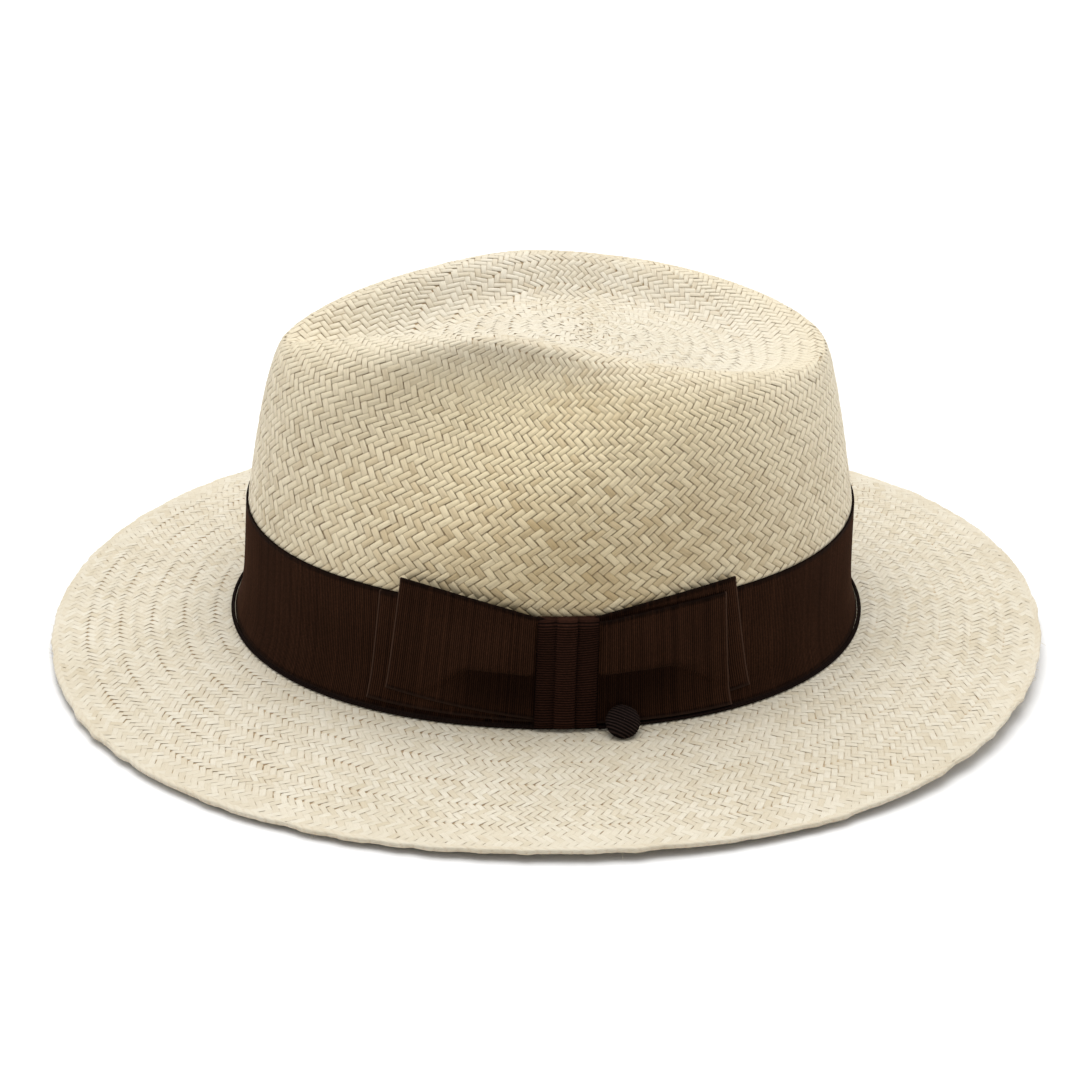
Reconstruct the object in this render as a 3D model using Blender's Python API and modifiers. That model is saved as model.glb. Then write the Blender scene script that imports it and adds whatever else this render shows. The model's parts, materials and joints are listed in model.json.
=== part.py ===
"""Panama hat: woven straw body with a teardrop crown, grosgrain band and bow,
elastic wind cord with its covered button, and the leather sweatband inside.

Frame: metres, +Z up. The hat stands on its brim on z = 0, with the origin under
the middle of its bounding box. The front of the hat faces -Y, the bow is on the
wearer's left, +X.

The working numbers below are millimetres measured from the foot of the crown
(where crown and brim meet, z = 0), and `world` turns them into metres.
"""

import math

import bmesh
import bpy
import numpy as np

# ---------------------------------------------------------------- dimensions
LIFT = 8.95                # height of the crown's foot above the ground
STRAW = 1.2                # thickness of the woven straw
EDGE_STRAW = 1.7           # thickness of the brim's turned-back edge
CROWN_A = 103.7            # half length of the crown at its foot
CROWN_B = 85.94            # half width of the crown at its foot
CROWN_SQUARE = 0.015       # how much fuller than an ellipse the crown is
BRIM_A = 164.96            # half length of the brim
BRIM_B = 149.37            # half width of the brim
BRIM_SQUARE = 0.018
BRIM_DROP = (5.5, 1.8, -2.49)   # mean, front/back and side terms of the drop
FLARE = 3.2                # the crown's foot flares out by this much
FLARE_HEIGHT = 5.5
BAND_TOP = 41.0            # height of the ribbon line on the crown
BAND_TAPER = 1.3           # lean of the crown over the ribbon's height
WALL_LEAN = 0.155          # lean of the crown wall above the ribbon
WALL_FULLNESS = 2.25       # superellipse exponent of the shoulder
RIDGE_MID = 3.0            # y of the middle of the teardrop ridge
RIDGE_HALF = 86.5
PINCH = 0.29               # share of the half width taken by the front pinch
CREASE_DEPTH = 9.3         # depth of the crown's crease, more at the front
TIP_Y = 14.0               # centre of the weave on the crown's top
SEGMENTS = 60

RIBBON = 0.6               # thickness of one ribbon layer
GAP = 0.3
CORD_R = 0.55
BUTTON_R = 5.85
BUTTON_HEIGHT = 3.0
BUTTON_AT = (88.2, 27.2, 4.0)   # centre of the button's rim
BUTTON_OUT = (0.976, 0.216)     # horizontal way out from the crown there
LEATHER = 1.0
SWEAT_GAP = 1.6            # from the straw's outer face to the leather
KNOT_Y = (-0.6, 20.1)


# ------------------------------------------------------------- hat surface
def smooth(a, b, x):
    x = np.clip((x - a) / (b - a), 0.0, 1.0)
    return x * x * (3 - 2 * x)


def ring(a, b, t, square, middle=0.0):
    """Point of a slightly squared oval; t = 0 is the front, t = 90 deg the left."""
    k = 1 + square * np.sin(2 * t) ** 2
    return b * np.sin(t) * k, middle - a * np.cos(t) * k


def ridge_xy(t):
    """Plan of the ridge round the crease: a teardrop, narrow at the front."""
    c, s = np.cos(t), np.sin(t)
    return s * (38.4 - 13.8 * c - 3.2 * c * (1 - c * c)), RIDGE_MID - RIDGE_HALF * c


def ridge_z(y):
    """Height of the ridge: highest a little in front of the middle, 94 to 110 mm."""
    u = (y - RIDGE_MID) / 87.0
    v = u + 0.175
    arch = 114.35 + 1.63 * v - 18.53 * np.sqrt(v * v + 0.046)
    return arch - 17.8 * np.clip(-u - 0.55, 0, None) ** 2


def wall_low(z, t):
    """Outer face of the crown between its foot and the ribbon line."""
    inset = FLARE * (1 - np.exp(-z / FLARE_HEIGHT)) + BAND_TAPER * z / BAND_TOP
    x, y = ring(CROWN_A - inset, CROWN_B - inset, t, CROWN_SQUARE)
    return x, y + 1.4 * z / BAND_TOP


PINCH_PEAK = (2.1 / 2.72) ** 2.1 * (0.62 / 2.72) ** 0.62


def crown_wall(t, f):
    """Outer face from the ribbon line (f = 0) over the shoulder to the ridge (f = 1)."""
    bx, by = wall_low(BAND_TOP, t)
    rx, ry = ridge_xy(t)
    angle = f * math.pi / 2
    up = math.sin(angle) ** (2 / WALL_FULLNESS)
    over = 1 - max(math.cos(angle), 0.0) ** (2 / WALL_FULLNESS)
    height = ridge_z(ry) - BAND_TOP
    vx = bx - WALL_LEAN * height * np.sin(t)
    vy = by + WALL_LEAN * 0.95 * height * np.cos(t)
    x = bx + (vx - bx) * up + (rx - vx) * over
    y = by + (vy - by) * up + (ry - vy) * over
    z = BAND_TOP + height * up
    d = y + 38.0 - 0.75 * (z - 80.0)
    bell = np.where(d > 0, np.exp(-np.abs(d / 44.0) ** 2.6), np.exp(-((d / 40.0) ** 2)))
    x = x * (1 - PINCH * bell * up**2.1 * (1 - up) ** 0.62 / PINCH_PEAK)
    return x, y, z


def crown_top(t, q):
    """Inside of the teardrop, from the ridge (q = 1) to the middle of the crease."""
    rx, ry = ridge_xy(t)
    x, y = rx * q, TIP_Y + (ry - TIP_Y) * q
    depth = CREASE_DEPTH + 5.0 * smooth(20, -60, y) - 2.5 * smooth(50, 90, y)
    floor = ridge_z(np.clip(y, -84, 90)) - depth
    w = smooth(0.60, 1.02, q)
    return x, y, floor * (1 - w) + ridge_z(ry) * w


def brim(t, s):
    """Upper face of the brim, from the crown's foot (s = 0) to its edge (s = 1)."""
    ex, ey = ring(BRIM_A, BRIM_B, t, BRIM_SQUARE)
    jx, jy = ring(CROWN_A, CROWN_B, t, CROWN_SQUARE)
    drop = BRIM_DROP[0] + BRIM_DROP[1] * np.cos(t) + BRIM_DROP[2] * np.cos(2 * t)
    return jx + (ex - jx) * s, jy + (ey - jy) * s, -drop * s**1.35


def off_wall(t, z, d):
    """Point at height z, a distance d out from the crown's outer face."""
    e = 1e-3
    x, y = wall_low(z, t)
    x1, y1 = wall_low(z, t - e)
    x2, y2 = wall_low(z, t + e)
    nx, ny = (y2 - y1), -(x2 - x1)
    length = math.hypot(nx, ny)
    return x + d * nx / length, y + d * ny / length, z


def at_y(y, half=100.0):
    """Angle on the left side of the crown at which the wall has this y."""
    return math.acos(max(-1.0, min(1.0, -y / half)))


def world(p):
    return (p[0] * 0.001, p[1] * 0.001, (p[2] + LIFT) * 0.001)


# ------------------------------------------------------------------ helpers
for old in list(bpy.context.scene.objects):
    bpy.data.objects.remove(old, do_unlink=True)
parts = bpy.data.collections.new("panama_hat")
bpy.context.scene.collection.children.link(parts)


def material(name, colour, roughness, metallic=0.0):
    mat = bpy.data.materials.new(name)
    mat.use_nodes = True
    bsdf = mat.node_tree.nodes["Principled BSDF"]
    bsdf.inputs["Base Color"].default_value = (*colour, 1.0)
    bsdf.inputs["Roughness"].default_value = roughness
    bsdf.inputs["Metallic"].default_value = metallic
    return mat


def add(name, mesh, mat):
    obj = bpy.data.objects.new(name, mesh)
    obj.data.materials.append(mat)
    parts.objects.link(obj)
    return obj


def finish_bmesh(bm, name, mat, smooth_angle=40):
    bmesh.ops.recalc_face_normals(bm, faces=bm.faces)
    volume = bm.calc_volume(signed=True)
    if volume < 0:
        bmesh.ops.reverse_faces(bm, faces=bm.faces)
    mesh = bpy.data.meshes.new(name)
    bm.to_mesh(mesh)
    bm.free()
    mesh.shade_smooth()
    mesh.set_sharp_from_angle(angle=math.radians(smooth_angle))
    return add(name, mesh, mat)


def loft(name, sections, mat, closed=False):
    """Skins a row of closed sections. Each next one is extruded from the last."""
    bm = bmesh.new()
    count = len(sections[0])
    first = bmesh.ops.create_circle(bm, segments=count, radius=1.0, cap_ends=False)["verts"]
    for vert, co in zip(first, sections[0]):
        vert.co = world(co)
    last = list(first)
    row = list(sections[1:]) + ([sections[0]] if closed else [])
    for section in row:
        edges = [bm.edges.get((last[i], last[(i + 1) % count])) for i in range(count)]
        made = bmesh.ops.extrude_edge_only(bm, edges=edges)["geom"]
        new = {v for v in made if isinstance(v, bmesh.types.BMVert)}
        moved = []
        for vert in last:
            other = next(e.other_vert(vert) for e in vert.link_edges if e.other_vert(vert) in new)
            moved.append(other)
        for vert, co in zip(moved, section):
            vert.co = world(co)
        last = moved
    if closed:
        bmesh.ops.remove_doubles(bm, verts=list(first) + last, dist=1e-7)
    else:
        for loop in (first, last):
            bmesh.ops.contextual_create(
                bm, geom=[bm.edges.get((loop[i], loop[(i + 1) % count])) for i in range(count)]
            )
    return finish_bmesh(bm, name, mat)


def tube(name, points, radius, mat, sides=2, cyclic=False):
    curve = bpy.data.curves.new(name, "CURVE")
    curve.dimensions = "3D"
    curve.bevel_depth = radius * 0.001
    curve.bevel_resolution = sides
    curve.use_fill_caps = not cyclic
    spline = curve.splines.new("POLY")
    spline.points.add(len(points) - 1)
    for point, co in zip(spline.points, points):
        point.co = (*world(co), 1.0)
    spline.use_cyclic_u = cyclic
    curve.materials.append(mat)
    obj = bpy.data.objects.new(name, curve)
    parts.objects.link(obj)
    return obj


ANGLES = [2 * math.pi * i / SEGMENTS for i in range(SEGMENTS)]
T = np.array(ANGLES)

straw = material("straw", (0.72, 0.62, 0.44), 0.6)
ribbon = material("grosgrain", (0.022, 0.012, 0.008), 0.7)
ribbon_knot = material("grosgrain_knot", (0.018, 0.010, 0.007), 0.7)
elastic = material("elastic", (0.012, 0.008, 0.007), 0.8)
cover_cloth = material("button_cloth", (0.010, 0.007, 0.007), 0.75)
tin = material("tinplate", (0.55, 0.55, 0.56), 0.35, 1.0)
leather = material("sweatband_leather", (0.30, 0.17, 0.09), 0.5)
reed = material("reed", (0.45, 0.33, 0.20), 0.5)
satin = material("satin", (0.03, 0.018, 0.012), 0.4)
thread = material("thread", (0.55, 0.44, 0.30), 0.8)

# --------------------------------------------------------------- straw body
stations = []
for q in (0.05, 0.2, 0.38, 0.54, 0.66, 0.76, 0.86, 0.94):
    stations.append(crown_top(T, q))
for f in (1.0, 0.92, 0.83, 0.73, 0.62, 0.5, 0.38, 0.26, 0.13):
    stations.append(crown_wall(T, f))
for z in (BAND_TOP, 30.0, 18.0, 11.0, 6.5, 3.0):
    x, y = wall_low(z, T)
    stations.append((x, y, np.full_like(x, z)))
for s in (0.0, 0.07, 0.2, 0.42, 0.64, 0.84, 0.95, 1.0):
    stations.append(brim(T, s))
outer = np.array([np.stack(s, -1) for s in stations])          # station, angle, xyz
around = np.roll(outer, -1, axis=1) - np.roll(outer, 1, axis=1)
along = np.gradient(outer, axis=0)
normal = np.cross(along, around)
normal /= np.linalg.norm(normal, axis=-1, keepdims=True)
if normal[0, :, 2].mean() < 0:
    normal = -normal
inner = outer - STRAW * normal
# The brim's edge is the straw woven back on itself: thicker, and flat underneath.
for k, extra in ((-2, 1.0), (-1, 1.0)):
    inner[k] = outer[k] - (STRAW + (EDGE_STRAW - STRAW) * extra) * np.array([0.0, 0.0, 1.0])
inner[-1, :, :2] = outer[-1, :, :2]
inner[:, :, 2] = np.maximum(inner[:, :, 2], -LIFT)
loft("straw_body", list(outer) + list(inner[::-1]), straw)


# -------------------------------------------------------------- hat band
def band_top(t):
    """The ribbon's top line, drawn down where the bow is sewn over it."""
    away = (t - at_y(9.8)) / math.radians(20)
    return BAND_TOP - 0.1 - 4.9 * math.exp(-away * away)


def wall_section(t, low, high, d0, d1, inner_levels=(0.14, 0.5)):
    """Closed section of a strip that stands against the crown, from d0 to d1 out."""
    levels = [low] + [low + (high - low) * k for k in inner_levels] + [high]
    up = [off_wall(t, z, d1) for z in levels]
    down = [off_wall(t, z, d0) for z in reversed(levels)]
    return up + down


loft(
    "hat_band",
    [wall_section(t, 0.6, band_top(t), GAP, GAP + RIBBON) for t in ANGLES],
    ribbon,
    closed=True,
)


# ---------------------------------------------------------------- the bow
def strip(name, y0, y1, low, high, layer, mat, count=11):
    """A ribbon layer of the bow. low and high give its edges' heights at both ends."""
    d0 = GAP + RIBBON + GAP + layer * (RIBBON + GAP)
    sections = []
    for i in range(count):
        k = i / (count - 1)
        t = at_y(y0 + (y1 - y0) * k)
        ease = k if name.startswith("bow_right") else 1 - k
        ease = max(0.0, (ease - 0.18) / 0.82)
        sections.append(
            wall_section(
                t,
                low[0] + (low[1] - low[0]) * ease,
                high[0] + (high[1] - high[0]) * ease,
                d0,
                d0 + RIBBON,
            )
        )
    return loft(name, sections, mat)


# heights are (at the knot, at the free end)
strip("bow_left_tail", -50.0, 9.0, (2.2, 3.4), (36.2, 40.6), 0, ribbon)
strip("bow_left_wing", -44.5, 9.0, (2.6, 8.4), (36.4, 46.8), 1, ribbon)
strip("bow_right_wing", 10.6, 64.0, (2.2, 6.0), (36.4, 43.8), 0, ribbon)
strip("bow_right_tail", 10.6, 60.0, (2.0, 2.0), (36.0, 36.6), 1, ribbon)

knot_sections = []
KNOT_IN, KNOT_OUT = 3.3, 4.5
for i in range(13):
    k = i / 12
    t = at_y(KNOT_Y[0] + (KNOT_Y[1] - KNOT_Y[0]) * k)
    d = KNOT_OUT + 0.5 * abs(math.sin(3 * math.pi * k))    # three soft pleats
    levels = (2.0, 12.0, 24.0, 36.0, 37.2)
    face = [off_wall(t, z, d - (0.5 if z in (2.0, 37.2) else 0.0)) for z in levels]
    back = [off_wall(t, 38.0, d - 1.6), off_wall(t, 38.0, 0.5), off_wall(t, 37.2, 0.5), off_wall(t, 36.9, KNOT_IN)]
    back += [off_wall(t, 24.0, KNOT_IN), off_wall(t, 12.0, KNOT_IN), off_wall(t, 2.0, KNOT_IN)]
    knot_sections.append(face + back)
loft("bow_knot", knot_sections, ribbon_knot)

# ------------------------------------------------------------- wind cord
CORD_Z = 0.95
CORD_D = GAP + RIBBON + GAP + CORD_R
loft(
    "wind_cord",
    [
        [
            off_wall(t, CORD_Z + CORD_R * math.sin(a), CORD_D + CORD_R * math.cos(a))
            for a in [2 * math.pi * j / 6 for j in range(6)]
        ]
        for t in ANGLES
    ],
    elastic,
    closed=True,
)
# From the cord, in front of it, to the loop at the back of the button.
neck_d = CORD_D + CORD_R + GAP + 0.5
tube(
    "cord_neck",
    [
        off_wall(at_y(18.6), 1.05, neck_d),
        off_wall(at_y(20.2), 1.05, neck_d),
        off_wall(at_y(21.8), 1.08, neck_d + 0.05),
        off_wall(at_y(22.8), 1.2, neck_d + 0.2),
        off_wall(at_y(23.6), 1.4, neck_d + 0.45),
    ],
    0.45,
    elastic,
)

# --------------------------------------------------------------- button
rest = bpy.data.objects.new("button_slide", None)
rest.location = world(BUTTON_AT)
# The button's own z looks up and out from the crown at 45 degrees.
heading = math.atan2(BUTTON_OUT[1], BUTTON_OUT[0])
rest.rotation_euler = (0.0, math.radians(45), heading)
parts.objects.link(rest)


def turned(name, profile, mat, steps=24):
    """Closed profile of (radius, height) in mm, turned about the button's axis."""
    bm = bmesh.new()
    verts = [bm.verts.new((r * 0.001, 0.0, h * 0.001)) for r, h in profile]
    for a, b in zip(verts, verts[1:]):
        bm.edges.new((a, b))
    if profile[0][0] > 0 or profile[-1][0] > 0:
        bm.edges.new((verts[-1], verts[0]))
    mesh = bpy.data.meshes.new(name)
    bm.to_mesh(mesh)
    bm.free()
    obj = add(name, mesh, mat)
    obj.parent = rest
    screw = obj.modifiers.new("turn", "SCREW")
    screw.axis = "Z"
    screw.angle = 2 * math.pi
    screw.steps = screw.render_steps = steps
    screw.use_merge_vertices = True
    screw.merge_threshold = 0.00005
    screw.use_normal_calculate = False
    screw.use_smooth_shade = True
    return obj


def dome(radius, height, count):
    """Profile of a dome from its top down to its rim."""
    return [
        (radius * math.sin(a), height * math.cos(a))
        for a in [0.5 * math.pi * i / (count - 1) for i in range(count)]
    ]


R, H = BUTTON_R, BUTTON_HEIGHT
outside = dome(R, H, 7)
inside = dome(R - 0.4, H - 0.4, 6)
turned(
    "button_cover",
    outside + [(R - 0.15, -0.35), (R - 0.6, -0.6), (R - 1.0, -0.6), (R - 1.0, -0.3), (R - 0.55, -0.2)] + inside[::-1],
    cover_cloth,
)
shell_out = dome(R - 0.75, H - 0.75, 6)
shell_in = dome(R - 1.1, H - 1.1, 6)
turned("button_shell", shell_out + shell_in[::-1], tin)
turned("button_back", [(0.0, -0.4), (R - 1.4, -0.4), (R - 1.4, -0.85), (0.0, -0.85)], tin)

loop_points = []
for i in range(9):
    a = math.pi * i / 8
    loop_points.append((0.0, 1.15 * math.cos(a), -1.5 - 1.0 * math.sin(a)))
shank = bpy.data.curves.new("button_shank", "CURVE")
shank.dimensions = "3D"
shank.bevel_depth = 0.0003
shank.bevel_resolution = 2
shank.use_fill_caps = True
line = shank.splines.new("POLY")
line.points.add(len(loop_points) - 1)
for point, co in zip(line.points, loop_points):
    point.co = (co[0] * 0.001, co[1] * 0.001, co[2] * 0.001, 1.0)
shank.materials.append(tin)
shank_obj = bpy.data.objects.new("button_shank", shank)
shank_obj.parent = rest
parts.objects.link(shank_obj)

# ------------------------------------------------------------ sweatband
loft(
    "sweatband",
    [wall_section(t, 3.6, 36.0, -SWEAT_GAP - LEATHER, -SWEAT_GAP, (0.2, 0.6)) for t in ANGLES],
    leather,
    closed=True,
)
loft(
    "sweatband_reed",
    [
        [
            off_wall(t, 1.9 + 0.9 * math.sin(a), -2.75 + 0.9 * math.cos(a))
            for a in [2 * math.pi * j / 6 for j in range(6)]
        ]
        for t in ANGLES
    ],
    reed,
    closed=True,
)
loft(
    "sweatband_stitching",
    [
        [
            off_wall(t, 6.2 + 0.25 * math.sin(a), -SWEAT_GAP - LEATHER - GAP - 0.25 + 0.25 * math.cos(a))
            for a in [2 * math.pi * j / 4 for j in range(4)]
        ]
        for t in ANGLES
    ],
    thread,
    closed=True,
)
# The little bow that closes the leather's seam at the back of the head.
rear = off_wall(math.pi, 13.0, -SWEAT_GAP - LEATHER - 2.0)
bpy.ops.mesh.primitive_cube_add(size=1.0, location=world(rear))
bow = bpy.context.active_object
bow.name = bow.data.name = "sweatband_bow"
bow.scale = (0.018, 0.0014, 0.007)
bpy.ops.object.transform_apply(location=False, rotation=False, scale=True)
bow.data.materials.append(satin)
edge = bow.modifiers.new("soft", "BEVEL")
edge.width = 0.0005
edge.segments = 2
for user in list(bow.users_collection):
    user.objects.unlink(bow)
parts.objects.link(bow)
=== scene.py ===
"""The looks of the panama hat: 2/2 twill straw built strand by strand, ribbed
grosgrain ribbon and bow, elastic wind cord, covered button, and the leather
sweatband inside. Working numbers are millimetres from the foot of the crown,
and `world` turns them into metres. t = 0 is the front (-Y), 90 degrees is +X.
"""

import json
import math

import bpy
import numpy as np
from mathutils import Matrix, Vector

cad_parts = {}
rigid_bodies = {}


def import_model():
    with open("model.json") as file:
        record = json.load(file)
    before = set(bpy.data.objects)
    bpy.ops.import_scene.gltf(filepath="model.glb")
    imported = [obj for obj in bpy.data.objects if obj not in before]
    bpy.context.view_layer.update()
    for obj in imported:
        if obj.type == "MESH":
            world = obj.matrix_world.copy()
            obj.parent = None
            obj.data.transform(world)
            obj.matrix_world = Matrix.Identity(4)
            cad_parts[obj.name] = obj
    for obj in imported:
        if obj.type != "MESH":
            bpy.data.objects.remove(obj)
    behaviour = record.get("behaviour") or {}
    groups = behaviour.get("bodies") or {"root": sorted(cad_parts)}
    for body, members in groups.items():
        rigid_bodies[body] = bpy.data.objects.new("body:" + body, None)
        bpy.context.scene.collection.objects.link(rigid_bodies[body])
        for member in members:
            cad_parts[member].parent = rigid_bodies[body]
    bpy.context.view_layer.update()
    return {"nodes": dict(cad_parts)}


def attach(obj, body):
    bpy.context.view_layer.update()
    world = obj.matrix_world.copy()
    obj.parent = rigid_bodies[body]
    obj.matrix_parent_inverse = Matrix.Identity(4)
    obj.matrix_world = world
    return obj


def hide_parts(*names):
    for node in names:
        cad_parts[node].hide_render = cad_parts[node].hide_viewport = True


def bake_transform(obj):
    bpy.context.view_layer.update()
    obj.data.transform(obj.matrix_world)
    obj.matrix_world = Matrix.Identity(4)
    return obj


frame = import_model()
rng = np.random.default_rng(41)

# ------------------------------------------------------------- hat surface
LIFT = 8.95
STRAW = 1.2
CROWN_A, CROWN_B, CROWN_SQUARE = 103.7, 85.94, 0.015
BRIM_A, BRIM_B, BRIM_SQUARE = 164.96, 149.37, 0.018
BRIM_DROP = (5.5, 1.8, -2.49)
FLARE, FLARE_HEIGHT = 3.2, 5.5
BAND_TOP, BAND_TAPER = 41.0, 1.3
WALL_LEAN, WALL_FULLNESS = 0.155, 2.25
RIDGE_MID, RIDGE_HALF = 3.0, 86.5
PINCH, CREASE_DEPTH, TIP_Y = 0.29, 9.3, 14.0
PINCH_PEAK = (2.1 / 2.72) ** 2.1 * (0.62 / 2.72) ** 0.62
PI = math.pi


def smooth(a, b, x):
    x = np.clip((x - a) / (b - a), 0.0, 1.0)
    return x * x * (3 - 2 * x)


def ring(a, b, t, square, middle=0.0):
    k = 1 + square * np.sin(2 * t) ** 2
    return b * np.sin(t) * k, middle - a * np.cos(t) * k


def ridge_xy(t):
    c, s = np.cos(t), np.sin(t)
    return s * (38.4 - 13.8 * c - 3.2 * c * (1 - c * c)), RIDGE_MID - RIDGE_HALF * c


def ridge_z(y):
    u = (y - RIDGE_MID) / 87.0
    v = u + 0.175
    arch = 114.35 + 1.63 * v - 18.53 * np.sqrt(v * v + 0.046)
    return arch - 17.8 * np.clip(-u - 0.55, 0, None) ** 2


def wall_low(z, t):
    inset = FLARE * (1 - np.exp(-z / FLARE_HEIGHT)) + BAND_TAPER * z / BAND_TOP
    x, y = ring(CROWN_A - inset, CROWN_B - inset, t, CROWN_SQUARE)
    return x, y + 1.4 * z / BAND_TOP


def crown_wall(t, f):
    bx, by = wall_low(BAND_TOP, t)
    rx, ry = ridge_xy(t)
    angle = f * PI / 2
    up = math.sin(angle) ** (2 / WALL_FULLNESS)
    over = 1 - max(math.cos(angle), 0.0) ** (2 / WALL_FULLNESS)
    height = ridge_z(ry) - BAND_TOP
    vx = bx - WALL_LEAN * height * np.sin(t)
    vy = by + WALL_LEAN * 0.95 * height * np.cos(t)
    x = bx + (vx - bx) * up + (rx - vx) * over
    y = by + (vy - by) * up + (ry - vy) * over
    z = BAND_TOP + height * up
    d = y + 38.0 - 0.75 * (z - 80.0)
    bell = np.where(d > 0, np.exp(-np.abs(d / 44.0) ** 2.6), np.exp(-((d / 40.0) ** 2)))
    x = x * (1 - PINCH * bell * up**2.1 * (1 - up) ** 0.62 / PINCH_PEAK)
    return x, y, z


def crown_top(t, q):
    rx, ry = ridge_xy(t)
    x, y = rx * q, TIP_Y + (ry - TIP_Y) * q
    depth = CREASE_DEPTH + 5.0 * smooth(20, -60, y) - 2.5 * smooth(50, 90, y)
    floor = ridge_z(np.clip(y, -84, 90)) - depth
    w = smooth(0.60, 1.02, q)
    return x, y, floor * (1 - w) + ridge_z(ry) * w


def brim(t, s):
    ex, ey = ring(BRIM_A, BRIM_B, t, BRIM_SQUARE)
    jx, jy = ring(CROWN_A, CROWN_B, t, CROWN_SQUARE)
    drop = BRIM_DROP[0] + BRIM_DROP[1] * np.cos(t) + BRIM_DROP[2] * np.cos(2 * t)
    # The sides keep room under them for the straw's own thickness.
    lift = 1.75 * smooth(0.55, 1.0, s) * smooth(5.2, 8.0, drop)
    # A gentle wave lifts the edge below the bow, as straw brims do between the points they stand on.
    lift = lift + 1.3 * smooth(0.45, 1.0, s) * np.exp(-(((np.cos(t) + 0.03) / 0.36) ** 2)) * (np.sin(t) > 0)
    return jx + (ex - jx) * s, jy + (ey - jy) * s, -drop * s**1.35 + lift


def off_wall(t, z, d):
    e = 1e-3
    t, z, d = np.broadcast_arrays(np.asarray(t, float), np.asarray(z, float), np.asarray(d, float))
    x, y = wall_low(z, t)
    x1, y1 = wall_low(z, t - e)
    x2, y2 = wall_low(z, t + e)
    nx, ny = (y2 - y1), -(x2 - x1)
    length = np.hypot(nx, ny)
    return np.stack([x + d * nx / length, y + d * ny / length, z], -1)


def at_y(y, half=100.0):
    return np.arccos(np.clip(-np.asarray(y, float) / half, -1, 1))


def band_top(t):
    away = (t - at_y(9.8)) / math.radians(20)
    return BAND_TOP - 0.1 - 4.9 * np.exp(-away * away)


def world(p):
    p = np.asarray(p, float)
    return (p + np.array([0.0, 0.0, LIFT])) * 0.001


# ------------------------------------------------------------------ helpers
def mesh_piece(name, points, faces, mat, stands_for=(), uv=None, attrs=None, body="hat"):
    """One piece from points in working millimetres and quads."""
    mesh = bpy.data.meshes.new(name)
    co = world(points).astype(np.float32)
    faces = np.asarray(faces, np.int32)
    mesh.vertices.add(len(co))
    mesh.vertices.foreach_set("co", co.ravel())
    loops = faces.ravel()
    mesh.loops.add(len(loops))
    mesh.loops.foreach_set("vertex_index", loops)
    mesh.polygons.add(len(faces))
    mesh.polygons.foreach_set("loop_start", np.arange(len(faces), dtype=np.int32) * faces.shape[1])
    mesh.update(calc_edges=True)
    if uv is not None:
        layer = mesh.uv_layers.new(name="strand")
        layer.data.foreach_set("uv", np.asarray(uv, np.float32)[loops].ravel())
    for key, values in (attrs or {}).items():
        mesh.attributes.new(key, "FLOAT", "POINT").data.foreach_set(
            "value", np.asarray(values, np.float32).ravel()
        )
    mesh.shade_smooth()
    obj = bpy.data.objects.new(name, mesh)
    bpy.context.scene.collection.objects.link(obj)
    obj.data.materials.append(mat)
    if body:
        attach(obj, body)
    if stands_for:
        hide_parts(*stands_for)
    return obj


def grid_faces(rows, cols, wrap=False, flip=False, start=0):
    """Quads of a rows x cols grid, the first axis along, the second around."""
    i, j = np.meshgrid(np.arange(rows - 1), np.arange(cols if wrap else cols - 1), indexing="ij")
    k = (j + 1) % cols
    quad = np.stack([i * cols + j, (i + 1) * cols + j, (i + 1) * cols + k, i * cols + k], -1).reshape(-1, 4)
    return (quad[:, ::-1] if flip else quad) + start


def arc_even(points, count):
    """Closed rings, each resampled at equal steps of its own length from the front."""
    closed = np.concatenate([points, points[:, :1]], 1)
    step = np.linalg.norm(np.diff(closed, axis=1), axis=-1)
    run = np.concatenate([np.zeros((len(points), 1)), np.cumsum(step, 1)], 1)
    out = np.empty((len(points), count, 3))
    for k in range(len(points)):
        total = run[k, -1]
        if total < 1e-6:
            out[k] = closed[k, 0]
            continue
        at = np.linspace(0, total, count, endpoint=False)
        for a in range(3):
            out[k, :, a] = np.interp(at, run[k], closed[k, :, a])
    return out


def even_along(grid, count):
    """Each meridian resampled at equal steps of its own length."""
    step = np.linalg.norm(np.diff(grid, axis=0), axis=-1)
    run = np.concatenate([np.zeros((1, grid.shape[1])), np.cumsum(step, 0)], 0)
    at = np.linspace(0, 1, count)
    out = np.empty((count, grid.shape[1], 3))
    for j in range(grid.shape[1]):
        share = run[:, j] / run[-1, j]
        for a in range(3):
            out[:, j, a] = np.interp(at, share, grid[:, j, a])
    return out


def normals_of(grid):
    around = np.roll(grid, -1, axis=1) - np.roll(grid, 1, axis=1)
    along = np.gradient(grid, axis=0)
    n = np.cross(along, around)
    size = np.linalg.norm(n, axis=-1, keepdims=True)
    n = n / np.maximum(size, 1e-12)
    bad = size[..., 0] < 1e-9
    if bad.any():
        n[bad] = (0.0, 0.0, 1.0)
    return n


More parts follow.
